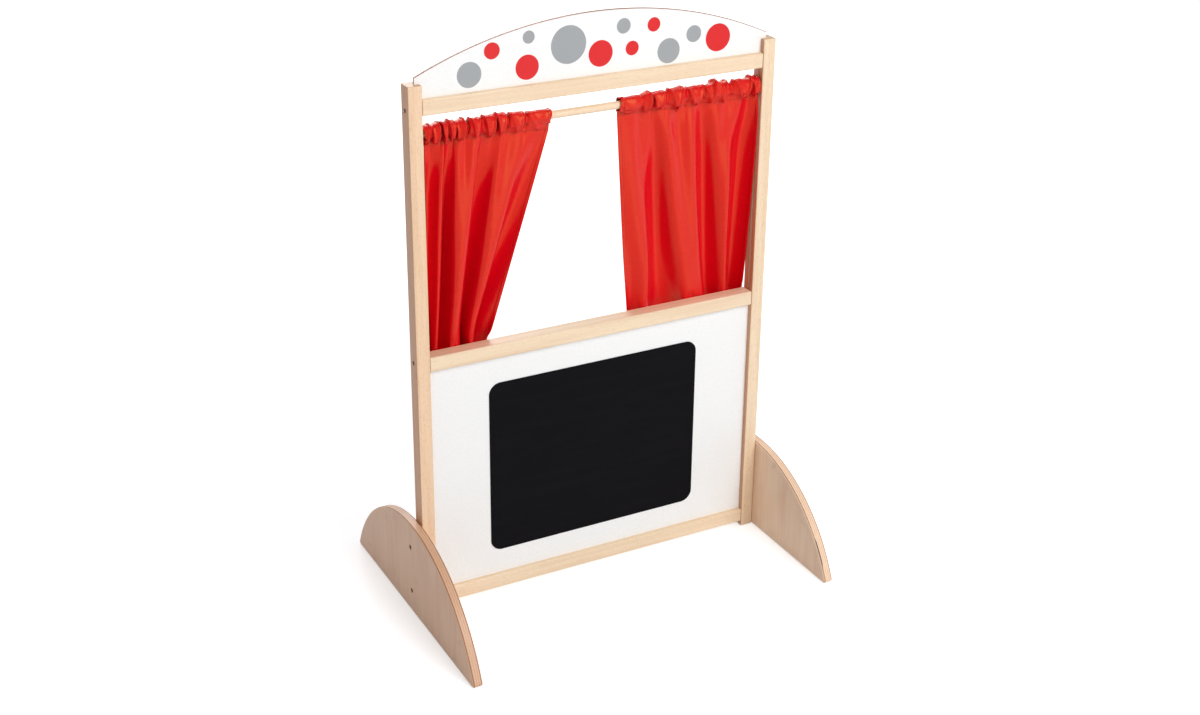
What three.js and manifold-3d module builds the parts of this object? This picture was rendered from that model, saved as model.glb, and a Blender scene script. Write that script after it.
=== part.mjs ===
// A puppet theater stand for children, in millimetres, +Z up, the stage front towards -Y.
// The origin lies on the floor, midway between the posts and midway through their depth.
import * as THREE from 'three';
import { mergeVertices } from 'three/addons/utils/BufferGeometryUtils.js';
import Module from 'manifold-3d';

// Frame: two posts and three rails of beech
const frameWidth = 694;
const postWidth = 25;
const postDepth = 30;
const postHeight = 976;
const edgeRound = 2.5;
const railHeight = 27;
const railSetback = 1;
const topRailDrop = 24.5;
const sillHeight = 499;
const floorGap = 10;

// Panels and the grooves that hold them
const panelThickness = 4;
const panelSetback = 10.5;
const postGrooveDepth = 10;
const railGrooveDepth = 8;
const archShoulderRise = 11;
const archRise = 84;
const boardWidth = 420;
const boardCornerRadius = 22;
const boardThickness = 1;
const boardDrop = 51.5;
const boardFloorMargin = 47.5;

// Feet: half-round plywood boards outside the posts
const footLength = 534;
const footHeight = 180;
const footThickness = 18;
const footEdgeRound = 3;
const footTipRadius = 5;

// Screws, with the heights of those in the feet
const railScrewHeadDiameter = 8;
const railScrewShankDiameter = 5;
const railScrewBite = 28;
const railScrewOffset = 4;
const footScrewHeadDiameter = 9;
const footScrewShankDiameter = 5;
const footScrewHeights = { upper: 133.5, lower: 44 };
const footScrewCover = 2;
const screwRecess = 1.2;
const screwRim = 0.6;
const screwTaper = 3;
const screwTipDiameter = 2;
const socketWidth = 4;
const socketDepth = 2.4;

// Curtain rod: a round dowel in blind holes in the posts
const rodDiameter = 14;
const rodDrop = 33;
const rodSocketDepth = 10;
const rodChamfer = 1;

// Curtains: cloth gathered on the rod, leaning back over the middle rail
const curtainRise = 6;
const pocketHeight = 38.5;
const pocketWall = 2.6;
const clothThickness = 3;
const curtainOverhang = 41;
const curtainSideGap = 1;
const sillClearance = 1;
const leanBend = 18;
const foldDepth = 5;
const gatherDepth = 1.4;
const leftCurtainTopEdge = 88;
const leftCurtainHemEdge = 212;
const rightCurtainTopEdge = 37;
const rightCurtainHemEdge = 85;
const leftFolds = 5;
const rightFolds = 6;
const leftGathers = 9;
const rightGathers = 10;

// Clearances and the overrun of every cut
const fitGap = 0.3;
const rodSlip = 0.4;
const overrun = 5;

// Places that several pieces share
const postOuterX = frameWidth / 2;
const postInnerX = postOuterX - postWidth;
const postFrontY = -postDepth / 2;
const railDepth = postDepth - 2 * railSetback;
const railBackY = railDepth / 2;
const topRailTop = postHeight - topRailDrop;
const topRailBottom = topRailTop - railHeight;
const sillBottom = sillHeight - railHeight;
const bottomRailTop = floorGap + railHeight;
const panelFrontY = postFrontY + panelSetback;
const panelBackY = panelFrontY + panelThickness;
const panelHalfWidth = postInnerX + postGrooveDepth - fitGap;
const rodRadius = rodDiameter / 2;
const rodHeight = topRailBottom - rodDrop;

const wasm = await Module();
wasm.setup();

// A closed solid from a geometry, with its seams merged and its empty faces dropped
function solid(geometry) {
  const bare = geometry.clone();
  bare.deleteAttribute('normal');
  bare.deleteAttribute('uv');
  const merged = mergeVertices(bare);
  const corners = merged.index.array;
  const faces = [];
  for (let i = 0; i < corners.length; i += 3) {
    const [a, b, c] = [corners[i], corners[i + 1], corners[i + 2]];
    if (a !== b && b !== c && c !== a) faces.push(a, b, c);
  }
  return new wasm.Manifold(new wasm.Mesh({
    numProp: 3,
    vertProperties: merged.attributes.position.array,
    triVerts: new Uint32Array(faces),
  }));
}

// A geometry with the cutters taken out of it
function cut(geometry, cutters) {
  let body = solid(geometry);
  for (const cutter of cutters) body = body.subtract(solid(cutter));
  const mesh = body.getMesh();
  const result = new THREE.BufferGeometry();
  result.setAttribute('position', new THREE.BufferAttribute(mesh.vertProperties, 3));
  result.setIndex(new THREE.BufferAttribute(mesh.triVerts, 1));
  result.computeVertexNormals();
  return result;
}

// A box between two opposite corners
function block(low, high) {
  const size = high.map((value, i) => value - low[i]);
  const middle = high.map((value, i) => (value + low[i]) / 2);
  return new THREE.BoxGeometry(...size).translate(...middle);
}

// A rectangle with round corners, centred on the origin
function roundedRectangle(width, height, radius) {
  const x = width / 2 - radius;
  const y = height / 2 - radius;
  const shape = new THREE.Shape();
  shape.absarc(x, y, radius, 0, Math.PI / 2, false);
  shape.absarc(-x, y, radius, Math.PI / 2, Math.PI, false);
  shape.absarc(-x, -y, radius, Math.PI, 1.5 * Math.PI, false);
  shape.absarc(x, -y, radius, 1.5 * Math.PI, 2 * Math.PI, false);
  shape.closePath();
  return shape;
}

// A squared bar with rounded edges and ends, standing on its end on the XY plane
function roundedBar(width, depth, length) {
  const endRoundShare = 0.6;
  const endRound = edgeRound * endRoundShare;
  const bar = new THREE.ExtrudeGeometry(roundedRectangle(width, depth, edgeRound), {
    depth: length - 2 * endRound,
    bevelThickness: endRound,
    bevelSize: endRound,
    bevelOffset: -endRound,
    bevelSegments: 2,
    curveSegments: 3,
  });
  return bar.translate(0, 0, endRound);
}

// A round shape turned about the X axis, from [radius, x] pairs that run towards +X
function turned(profile, sides) {
  const points = profile.map(([radius, x]) => new THREE.Vector2(radius, x));
  return new THREE.LatheGeometry(points, sides).rotateZ(-Math.PI / 2);
}

// A connector screw along X, driven towards -X, with its origin on the face of the wood
const screwSides = 14;
function screwOutline(headDiameter, shankDiameter, length, gap) {
  const head = headDiameter / 2 + gap;
  const shank = shankDiameter / 2 + gap;
  const tip = screwTipDiameter / 2 + gap;
  const neck = -screwRecess - screwRim - (headDiameter - shankDiameter) / 2 - gap;
  return [[0, -length - gap], [tip, -length - gap], [shank, -length - gap + screwTaper],
    [shank, neck], [head, -screwRecess - screwRim - gap]];
}
function screw(headDiameter, shankDiameter, length) {
  const head = headDiameter / 2;
  const outline = screwOutline(headDiameter, shankDiameter, length, 0);
  const body = turned([...outline, [head, -screwRecess], [0, -screwRecess]], screwSides);
  const hexagonRadius = socketWidth / Math.sqrt(3);
  const socket = new THREE.CylinderGeometry(hexagonRadius, hexagonRadius, 2 * socketDepth, 6);
  return cut(body, [socket.rotateZ(Math.PI / 2).translate(-screwRecess, 0, 0)]);
}
// The hole that the screw fills, open at the face of the wood
function screwHole(headDiameter, shankDiameter, length) {
  const head = headDiameter / 2 + fitGap;
  const outline = screwOutline(headDiameter, shankDiameter, length, fitGap);
  return turned([...outline, [head, overrun], [0, overrun]], screwSides);
}

// Lengths of the two kinds of screw, from the face of the wood to the tip
const railScrewLength = postWidth + railScrewBite;
const footScrewLength = footThickness + postWidth - postGrooveDepth - footScrewCover;

// Each rail: the height of its middle, and the side of its panel groove, +1 up or -1 down
const rails = {
  top: { middle: topRailTop - railHeight / 2, grooveSide: 1 },
  middle: { middle: sillHeight - railHeight / 2, grooveSide: -1 },
  bottom: { middle: floorGap + railHeight / 2, grooveSide: 1 },
};
// The screws sit off the rail's middle, away from its panel groove
const railScrewHeight = (rail) => rail.middle - rail.grooveSide * railScrewOffset;

// A post, its outer face towards side, with groove, rod hole and screw holes
function postGeometry(side) {
  const innerX = -side * postWidth / 2;
  const outerX = side * postWidth / 2;
  const grooveX = [innerX - side * overrun, innerX + side * postGrooveDepth].sort((a, b) => a - b);
  const cutters = [block(
    [grooveX[0], panelFrontY - fitGap, -overrun],
    [grooveX[1], panelBackY + fitGap, postHeight + overrun],
  )];
  const socketLength = rodSocketDepth + overrun;
  const socket = new THREE.CylinderGeometry(rodRadius + fitGap, rodRadius + fitGap, socketLength, 24);
  const socketMiddle = innerX + side * (rodSocketDepth - socketLength / 2);
  cutters.push(socket.rotateZ(Math.PI / 2).translate(socketMiddle, 0, rodHeight));
  for (const rail of Object.values(rails)) {
    const hole = screwHole(railScrewHeadDiameter, railScrewShankDiameter, railScrewLength);
    if (side < 0) hole.rotateZ(Math.PI);
    cutters.push(hole.translate(outerX, 0, railScrewHeight(rail)));
  }
  for (const height of Object.values(footScrewHeights)) {
    const hole = screwHole(footScrewHeadDiameter, footScrewShankDiameter, footScrewLength);
    if (side < 0) hole.rotateZ(Math.PI);
    cutters.push(hole.translate(outerX + side * footThickness, 0, height));
  }
  return cut(roundedBar(postWidth, postDepth, postHeight), cutters);
}

// A rail along X, centred on the origin, with its panel groove and a screw hole in each end
function railGeometry(rail) {
  const bar = roundedBar(railHeight, railDepth, 2 * postInnerX);
  bar.translate(0, 0, -postInnerX).rotateY(Math.PI / 2);
  const grooveZ = [railHeight / 2 - railGrooveDepth, railHeight / 2 + overrun];
  if (rail.grooveSide < 0) grooveZ.reverse();
  const cutters = [block(
    [-postInnerX - overrun, panelFrontY - fitGap, rail.grooveSide * grooveZ[0]],
    [postInnerX + overrun, panelBackY + fitGap, rail.grooveSide * grooveZ[1]],
  )];
  for (const side of [-1, 1]) {
    const hole = screwHole(railScrewHeadDiameter, railScrewShankDiameter, railScrewLength);
    if (side < 0) hole.rotateZ(Math.PI);
    cutters.push(hole.translate(side * postOuterX, 0, -rail.grooveSide * railScrewOffset));
  }
  return cut(bar, cutters);
}

// The rod, with a small chamfer at each end
function rodGeometry() {
  const end = postInnerX + rodSocketDepth - fitGap;
  return turned([[0, -end], [rodRadius - rodChamfer, -end], [rodRadius, -end + rodChamfer],
    [rodRadius, end - rodChamfer], [rodRadius - rodChamfer, end], [0, end]], 24);
}

// A flat board from an outline in X and Z, its front face at Y = 0
function board(outline, thickness, curveSegments) {
  const flat = new THREE.ExtrudeGeometry(outline, { depth: thickness, bevelEnabled: false, curveSegments });
  return flat.rotateX(Math.PI / 2).translate(0, thickness, 0);
}

// The arch panel: straight ends that rise just past the posts, then one arc
function archPanelGeometry() {
  const bottom = topRailTop - railGrooveDepth + fitGap;
  const shoulder = postHeight + archShoulderRise;
  const arcRise = archRise - archShoulderRise;
  const radius = (panelHalfWidth ** 2 + arcRise ** 2) / (2 * arcRise);
  const centreZ = postHeight + archRise - radius;
  const endAngle = Math.asin((shoulder - centreZ) / radius);
  const outline = new THREE.Shape();
  outline.moveTo(-panelHalfWidth, bottom);
  outline.lineTo(panelHalfWidth, bottom);
  outline.absarc(0, centreZ, radius, endAngle, Math.PI - endAngle, false);
  outline.closePath();
  return board(outline, panelThickness, 32);
}

// The front panel, between the middle and the bottom rail
function frontPanelGeometry() {
  const low = bottomRailTop - railGrooveDepth + fitGap;
  const high = sillBottom + railGrooveDepth - fitGap;
  return block([-panelHalfWidth, 0, low], [panelHalfWidth, panelThickness, high]);
}

// A foot, its outline in Y and Z, its inner face at X = 0 and its outer face towards +X
const footArcSteps = 40;
const footTipSteps = 4;
function footGeometry() {
  const half = footLength / 2;
  const radius = (half ** 2 + footHeight ** 2) / (2 * footHeight);
  const centreZ = footHeight - radius;
  const arcPoints = (y, z, r, from, to, steps) => new THREE.EllipseCurve(y, z, r, r, from, to).getPoints(steps);
  // The tip's small arc touches the floor line and runs on into the large arc
  const tipY = Math.sqrt((radius - footTipRadius) ** 2 - (footTipRadius - centreZ) ** 2);
  const meetAngle = Math.atan2(footTipRadius - centreZ, tipY);
  const tip = arcPoints(tipY, footTipRadius, footTipRadius, -Math.PI / 2, meetAngle, footTipSteps);
  const rearTip = tip.map(({ x, y }) => new THREE.Vector2(-x, y)).reverse();
  const back = arcPoints(0, centreZ, radius, meetAngle, Math.PI - meetAngle, footArcSteps);
  const outline = new THREE.Shape([...tip, ...back.slice(1, -1), ...rearTip]);
  const plate = new THREE.ExtrudeGeometry(outline, {
    depth: footThickness - 2 * footEdgeRound,
    bevelThickness: footEdgeRound,
    bevelSize: footEdgeRound,
    bevelOffset: -footEdgeRound,
    bevelSegments: 3,
  });
  plate.translate(0, 0, footEdgeRound).rotateX(Math.PI / 2).rotateZ(Math.PI / 2);
  const cutters = Object.values(footScrewHeights).map((height) => {
    const hole = screwHole(footScrewHeadDiameter, footScrewShankDiameter, footScrewLength);
    return hole.translate(footThickness, 0, height);
  });
  return cut(plate, cutters);
}

// How the cloth hangs: shares of the drop from the pocket's stitches to the hem
const dropShares = [0.06, 0.16, 0.28, 0.42, 0.56, 0.7, 0.8, 0.9, 1];
const curtainColumns = 40;

// A curtain between its left and right edge at the top and at the hem. Each column is a closed
// section in Y and Z: down the front, then up the back, fat round the rod and thin below it.
function curtainGeometry(edges, folds, gathers) {
  const top = rodHeight + rodRadius + curtainRise;
  const stitches = top - pocketHeight;
  const hem = sillHeight - curtainOverhang;
  const pocketHalf = rodRadius + rodSlip + pocketWall;
  const clothHalf = clothThickness / 2;
  const levels = [
    { z: top, half: clothHalf },
    { z: rodHeight + rodRadius + pocketWall, half: pocketHalf - pocketWall / 2 },
    { z: rodHeight, half: pocketHalf },
    { z: rodHeight - rodRadius - pocketWall, half: pocketHalf - pocketWall },
    { z: stitches, half: clothHalf },
    ...dropShares.map((share) => ({ z: stitches + (hem - stitches) * share, half: clothHalf })),
  ];
  const leanEnd = sillHeight + leanBend;
  const leanY = railBackY + sillClearance + foldDepth + clothHalf;
  const positions = [];
  for (let column = 0; column <= curtainColumns; column += 1) {
    const across = column / curtainColumns;
    const fold = Math.cos(2 * Math.PI * folds * across);
    const gather = Math.cos(2 * Math.PI * gathers * across);
    const front = [];
    const back = [];
    for (const { z, half } of levels) {
      const down = (top - z) / (top - hem);
      const left = edges.leftTop + (edges.leftHem - edges.leftTop) * down;
      const right = edges.rightTop + (edges.rightHem - edges.rightTop) * down;
      const lean = Math.min(Math.max((stitches - z) / (stitches - leanEnd), 0), 1);
      const swell = gatherDepth * (1 - lean) * (1 + gather) / 2;
      const x = left + (right - left) * across;
      const y = leanY * lean + foldDepth * fold * lean;
      const crest = z === top ? z - gatherDepth * (1 - gather) / 2 : z;
      front.push([x, y - half - swell, crest]);
      back.unshift([x, y + half, crest]);
    }
    positions.push(...front, ...back);
  }
  const ring = 2 * levels.length;
  const faces = [];
  for (let column = 0; column < curtainColumns; column += 1) {
    for (let i = 0; i < ring; i += 1) {
      const a = column * ring + i;
      const b = column * ring + (i + 1) % ring;
      faces.push(a, b, a + ring, b, b + ring, a + ring);
    }
  }
  const last = curtainColumns * ring;
  for (let i = 0; i + 1 < levels.length; i += 1) {
    const [a, b, c, d] = [i, i + 1, ring - 2 - i, ring - 1 - i];
    faces.push(a, c, b, a, d, c);
    faces.push(last + a, last + b, last + c, last + a, last + c, last + d);
  }
  const cloth = new THREE.BufferGeometry();
  cloth.setAttribute('position', new THREE.Float32BufferAttribute(positions.flat(), 3));
  cloth.setIndex(faces);
  const tunnelRadius = rodRadius + rodSlip;
  const tunnel = new THREE.CylinderGeometry(tunnelRadius, tunnelRadius, frameWidth, 20);
  return cut(cloth, [tunnel.rotateZ(Math.PI / 2).translate(0, 0, rodHeight)]);
}

// Materials
const beech = new THREE.MeshStandardMaterial({ color: '#ecd2b0', roughness: 0.55, metalness: 0 });
const plywood = new THREE.MeshStandardMaterial({ color: '#cfae8a', roughness: 0.6, metalness: 0 });
const whiteBoard = new THREE.MeshStandardMaterial({ color: '#f7f7f5', roughness: 0.45, metalness: 0 });
const blackBoard = new THREE.MeshStandardMaterial({ color: '#1a191c', roughness: 0.8, metalness: 0 });
const redCloth = new THREE.MeshStandardMaterial({ color: '#d8121c', roughness: 0.7, metalness: 0 });
const darkSteel = new THREE.MeshStandardMaterial({ color: '#3a3632', roughness: 0.45, metalness: 1 });

function piece(name, geometry, material, x, y, z) {
  const mesh = new THREE.Mesh(geometry, material);
  mesh.name = name;
  mesh.position.set(x, y, z);
  return mesh;
}

const frame = new THREE.Group();
for (const [name, rail] of Object.entries(rails)) {
  frame.add(piece(`${name}_rail`, railGeometry(rail), beech, 0, 0, rail.middle));
}
frame.add(piece('curtain_rod', rodGeometry(), beech, 0, 0, rodHeight));
frame.add(piece('arch_panel', archPanelGeometry(), whiteBoard, 0, panelFrontY, 0));
frame.add(piece('front_panel', frontPanelGeometry(), whiteBoard, 0, panelFrontY, 0));
const boardTop = sillBottom - boardDrop;
const boardBottom = bottomRailTop + boardFloorMargin;
const boardOutline = roundedRectangle(boardWidth, boardTop - boardBottom, boardCornerRadius);
const boardMiddle = (boardTop + boardBottom) / 2;
const boardGeometry = board(boardOutline, boardThickness, 8);
frame.add(piece('chalkboard', boardGeometry, blackBoard, 0, panelFrontY - boardThickness, boardMiddle));

// One side of the frame: a post, its foot and the screws that point inwards through them
const railScrew = screw(railScrewHeadDiameter, railScrewShankDiameter, railScrewLength);
const footScrew = screw(footScrewHeadDiameter, footScrewShankDiameter, footScrewLength);
for (const [sideName, side] of [['left', -1], ['right', 1]]) {
  const half = new THREE.Group();
  const turn = side < 0 ? Math.PI : 0;
  const postX = side * (postOuterX - postWidth / 2);
  half.add(piece(`${sideName}_post`, postGeometry(side), beech, postX, 0, 0));
  const foot = piece(`${sideName}_foot`, footGeometry(), plywood, side * postOuterX, 0, 0);
  foot.rotation.z = turn;
  half.add(foot);
  for (const [railName, rail] of Object.entries(rails)) {
    const name = `${sideName}_${railName}_screw`;
    const fastener = piece(name, railScrew, darkSteel, side * postOuterX, 0, railScrewHeight(rail));
    fastener.rotation.z = turn;
    half.add(fastener);
  }
  for (const [place, height] of Object.entries(footScrewHeights)) {
    const name = `${sideName}_foot_${place}_screw`;
    const x = side * (postOuterX + footThickness);
    const fastener = piece(name, footScrew, darkSteel, x, 0, height);
    fastener.rotation.z = turn;
    half.add(fastener);
  }
  frame.add(half);
}

const curtainOuterX = postInnerX - curtainSideGap;
const leftEdges = {
  leftTop: -curtainOuterX, leftHem: -curtainOuterX, rightTop: -leftCurtainTopEdge, rightHem: -leftCurtainHemEdge,
};
const rightEdges = {
  leftTop: rightCurtainTopEdge, leftHem: rightCurtainHemEdge, rightTop: curtainOuterX, rightHem: curtainOuterX,
};
const curtains = new THREE.Group();
curtains.add(piece('left_curtain', curtainGeometry(leftEdges, leftFolds, leftGathers), redCloth, 0, 0, 0));
curtains.add(piece('right_curtain', curtainGeometry(rightEdges, rightFolds, rightGathers), redCloth, 0, 0, 0));

const theater = new THREE.Group();
theater.add(frame, curtains);
export default theater;
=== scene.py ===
import math

import bpy
import numpy as np
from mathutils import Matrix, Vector


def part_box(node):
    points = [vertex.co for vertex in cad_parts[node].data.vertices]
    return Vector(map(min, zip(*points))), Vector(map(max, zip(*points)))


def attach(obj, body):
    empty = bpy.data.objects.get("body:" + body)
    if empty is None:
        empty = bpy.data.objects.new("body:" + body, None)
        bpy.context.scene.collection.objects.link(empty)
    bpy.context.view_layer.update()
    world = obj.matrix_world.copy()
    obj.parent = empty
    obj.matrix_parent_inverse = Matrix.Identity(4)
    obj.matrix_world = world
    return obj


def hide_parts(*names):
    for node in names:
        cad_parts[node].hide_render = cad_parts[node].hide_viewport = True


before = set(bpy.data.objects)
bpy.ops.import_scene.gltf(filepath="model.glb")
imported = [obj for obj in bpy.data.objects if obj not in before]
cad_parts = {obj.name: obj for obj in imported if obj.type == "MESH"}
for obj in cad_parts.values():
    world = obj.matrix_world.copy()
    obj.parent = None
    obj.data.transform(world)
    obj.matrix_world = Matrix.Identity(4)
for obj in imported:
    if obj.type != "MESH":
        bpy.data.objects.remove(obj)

scene = bpy.context.scene
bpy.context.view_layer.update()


# Camera: it stands to the left of the theater and a little above it, as for a catalogue picture.
# The frame reaches further down than up, which takes a small shift.
image_width_px = 1200
sensor_width_mm = 36
focal_length_px = 1762
shift_down_share = 0.045
camera_place = (-1.351, -2.521, 1.771)
camera_turn_degrees = (66.58, -0.61, -28.11)

camera_data = bpy.data.cameras.new("camera")
camera_data.sensor_width = sensor_width_mm
camera_data.lens = focal_length_px * sensor_width_mm / image_width_px
camera_data.shift_y = -shift_down_share
camera = bpy.data.objects.new("camera", camera_data)
camera.location = camera_place
camera.rotation_euler = [math.radians(angle) for angle in camera_turn_degrees]
scene.collection.objects.link(camera)
scene.camera = camera


# Studio: a pale matt floor that runs out of sight, and plain white surroundings. The camera sees both
# as white paper, while their light on the theater stays at a plain level. Near the theater the floor
# is lifted less, so that it keeps the theater's soft shadow.
floor_half_width = 30
floor_corner_shares = [(-1, -1), (1, -1), (1, 1), (-1, 1)]
floor_colour = "#F1F3F6"
near_lift_share = 0.5
far_lift_share = 0.68
near_reach = 0.5
far_reach = 1.6
surroundings_share = 0.37
paper_white = "#FFFFFF"

floor_corners = [(x * floor_half_width, y * floor_half_width, 0) for x, y in floor_corner_shares]
floor_mesh = bpy.data.meshes.new("floor")
floor_mesh.from_pydata(floor_corners, [], [(0, 1, 2, 3)])
floor = bpy.data.objects.new("floor", floor_mesh)
scene.collection.objects.link(floor)


def srgb(hex_colour):
    """The linear colour of an sRGB hex value, with an alpha of one."""
    channels = [int(hex_colour[i:i + 2], 16) / 255 for i in (1, 3, 5)]
    linear = [c / 12.92 if c <= 0.04045 else ((c + 0.055) / 1.055) ** 2.4 for c in channels]
    return (*linear, 1)


def add_node(tree, kind, links=None, **settings):
    """Adds a node, gives it its settings, and links or sets its inputs by name or number."""
    node = tree.nodes.new(kind)
    for name, value in settings.items():
        setattr(node, name, value)
    for name, value in (links or {}).items():
        if isinstance(value, bpy.types.NodeSocket):
            tree.links.new(value, node.inputs[name])
        else:
            node.inputs[name].default_value = value
    return node


def new_material(name):
    """An empty node material and its tree."""
    material = bpy.data.materials.new(name)
    material.use_nodes = True
    material.node_tree.nodes.clear()
    return material, material.node_tree


def seen_share(tree):
    """One for rays from the camera, and for those that a glossy or clear surface sends on."""
    ray = add_node(tree, "ShaderNodeLightPath")
    glossy = add_node(tree, "ShaderNodeMath", {
        0: ray.outputs["Is Camera Ray"], 1: ray.outputs["Is Glossy Ray"],
    }, operation="MAXIMUM")
    clear = add_node(tree, "ShaderNodeMath", {
        0: glossy.outputs[0], 1: ray.outputs["Is Transmission Ray"],
    }, operation="MAXIMUM")
    return clear.outputs[0]


floor_material, tree = new_material("matt_floor_paint")
paint = add_node(tree, "ShaderNodeBsdfDiffuse", {"Color": srgb(floor_colour)})
floor_place = add_node(tree, "ShaderNodeTexCoord").outputs["Object"]
from_theater = add_node(tree, "ShaderNodeVectorMath", {0: floor_place}, operation="LENGTH")
lift_share = add_node(tree, "ShaderNodeMapRange", {
    "Value": from_theater.outputs["Value"], "From Min": near_reach, "From Max": far_reach,
    "To Min": near_lift_share, "To Max": far_lift_share,
}, interpolation_type="SMOOTHSTEP")
lift = add_node(tree, "ShaderNodeEmission", {
    "Color": srgb(paper_white), "Strength": lift_share.outputs[0],
})
lifted = add_node(tree, "ShaderNodeAddShader", {0: paint.outputs[0], 1: lift.outputs[0]})
seen = add_node(tree, "ShaderNodeMixShader", {
    0: seen_share(tree), 1: paint.outputs[0], 2: lifted.outputs[0],
})
add_node(tree, "ShaderNodeOutputMaterial", {"Surface": seen.outputs[0]})
floor_mesh.materials.append(floor_material)

world = bpy.data.worlds.new("surroundings")
world.use_nodes = True
world.node_tree.nodes.clear()
tree = world.node_tree
plain = add_node(tree, "ShaderNodeBackground", {
    "Color": srgb(paper_white), "Strength": surroundings_share,
})
paper = add_node(tree, "ShaderNodeBackground", {"Color": srgb(paper_white)})
shown = add_node(tree, "ShaderNodeMixShader", {
    0: seen_share(tree), 1: plain.outputs[0], 2: paper.outputs[0],
})
add_node(tree, "ShaderNodeOutputWorld", {"Surface": shown.outputs[0]})
scene.world = world

# Three soft square panels: a key high in front on the right, a fill low under it, which gives the cloth
# its gleam, and a weaker one behind that keeps the back from going dull
light_aim = Vector((0, 0, 0.62))
panel_width = 2.2
soft_panels = [
    ("key_light", Vector((1.0, -4.0, 4.1)), 120),
    ("fill_light", Vector((1.1, -4.9, 1.3)), 45),
    ("back_light", Vector((0.8, 4.4, 2.8)), 80),
]
for name, place, watts in soft_panels:
    panel_data = bpy.data.lights.new(name, "AREA")
    panel_data.size = panel_width
    panel_data.energy = watts
    panel = bpy.data.objects.new(name, panel_data)
    panel.location = place
    panel.rotation_euler = (light_aim - place).to_track_quat("-Z", "Y").to_euler()
    scene.collection.objects.link(panel)

scene.view_settings.view_transform = "Standard"


# Frame: posts, rails and rod are beech, planed, sanded round at the edges and given a clear satin
# lacquer. The eye sees an even pale wood with short darker flecks that run with the grain.
beech_light = "#F9E0C0"
beech_dark = "#F1D4B2"
beech_ray = "#E2BE98"
beech_fleck = "#D3A880"
beech_end = "#D9B48E"
even_tone = "#FFFFFF"
pink_tone = "#FDF2EC"
# The X faces, the posts' sides, turn darker and browner: partly the flat-sawn figure, partly painted shade
flat_sawn_and_shade_tone = "#D8B29B"
band_width = 0.009
band_length = 0.28
band_shares = (0.35, 0.65)
ray_width = 0.0014
ray_length = 0.02
ray_shares = (0.55, 0.85)
fleck_width = 0.0007
fleck_length = 0.006
fleck_shares = (0.62, 0.8)
turned_shares = (0.6, 0.95)
lacquer_roughness = 0.42
lacquer_ior = 1.5
grain_depth = 0.00006


def grain_pattern(tree, axis, across, along, detail, twist=0):
    """A cloudy pattern from 0 to 1, its spots so wide across the grain and so long along it."""
    place = add_node(tree, "ShaderNodeTexCoord").outputs["Object"]
    steps = [1 / across] * 3
    steps["XYZ".index(axis)] = 1 / along
    counted = add_node(tree, "ShaderNodeVectorMath", {0: place, 1: steps}, operation="MULTIPLY")
    pattern = add_node(tree, "ShaderNodeTexNoise", {
        "Vector": counted.outputs[0], "Scale": 1, "Detail": detail, "Distortion": twist,
    })
    return pattern.outputs[0]


def turned_to(tree, axis):
    """How squarely a surface is turned to an axis, either way, from 0 to 1."""
    facing = add_node(tree, "ShaderNodeTexCoord").outputs["Normal"]
    parts = add_node(tree, "ShaderNodeSeparateXYZ", {0: facing})
    return add_node(tree, "ShaderNodeMath", {0: parts.outputs[axis]}, operation="ABSOLUTE").outputs[0]


def tinted(tree, colour, tint, pattern, limits):
    """The colour, which turns into the tint as the pattern goes from the first limit to the second."""
    share = add_node(tree, "ShaderNodeMapRange", {
        "Value": pattern, "From Min": limits[0], "From Max": limits[1],
    }, interpolation_type="SMOOTHSTEP")
    # A mix has its two colours on inputs 6 and 7, and gives the mixed one on output 2
    mix = add_node(tree, "ShaderNodeMix", {0: share.outputs[0], 6: colour, 7: tint}, data_type="RGBA")
    return mix.outputs[2]


def finish_material(tree, colour, relief, relief_depth, **inputs):
    """The surface shader with its colour and a relief of the given depth in metres."""
    bump = add_node(tree, "ShaderNodeBump", {"Height": relief, "Distance": relief_depth})
    sockets = {"Base Color": colour, "Normal": bump.outputs[0]}
    sockets.update({name.replace("_", " "): value for name, value in inputs.items()})
    surface = add_node(tree, "ShaderNodeBsdfPrincipled", sockets)
    add_node(tree, "ShaderNodeOutputMaterial", {"Surface": surface.outputs[0]})


def lacquered_beech(name, axis, tone):
    """Beech with its grain along an axis, in a given tone, with darker X faces: flat-sawn figure and
    painted shade.
    """
    material, tree = new_material(name)
    bands = grain_pattern(tree, axis, band_width, band_length, detail=3)
    rays = grain_pattern(tree, axis, ray_width, ray_length, detail=2)
    flecks = grain_pattern(tree, axis, fleck_width, fleck_length, detail=1)
    wood = tinted(tree, srgb(beech_light), srgb(beech_dark), bands, band_shares)
    wood = tinted(tree, wood, srgb(beech_ray), rays, ray_shares)
    wood = tinted(tree, wood, srgb(beech_fleck), flecks, fleck_shares)
    wood = tinted(tree, wood, srgb(beech_end), turned_to(tree, axis), turned_shares)
    # Darker, browner X faces: flat-sawn figure and painted shade
    tone_and_side_shade = tinted(tree, srgb(tone), srgb(flat_sawn_and_shade_tone), turned_to(tree, "X"), turned_shares)
    toned = add_node(
        tree, "ShaderNodeMix", {0: 1, 6: wood, 7: tone_and_side_shade}, data_type="RGBA", blend_type="MULTIPLY",
    )
    finish_material(
        tree, toned.outputs[2], flecks, grain_depth, Roughness=lacquer_roughness, IOR=lacquer_ior,
    )
    return material


def dress(node_name, material):
    """Gives a node of the frame its material."""
    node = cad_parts[node_name]
    node.data.materials.clear()
    node.data.materials.append(material)


# The left post is multiplied by a slightly pinker, darker tone than the right post
dress("left_post", lacquered_beech("lacquered_beech_pink_upright", "Z", pink_tone))
dress("right_post", lacquered_beech("lacquered_beech_upright", "Z", even_tone))
level_beech = lacquered_beech("lacquered_beech_level", "X", even_tone)
for bar in ("top_rail", "middle_rail", "bottom_rail", "curtain_rod"):
    dress(bar, level_beech)
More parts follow.
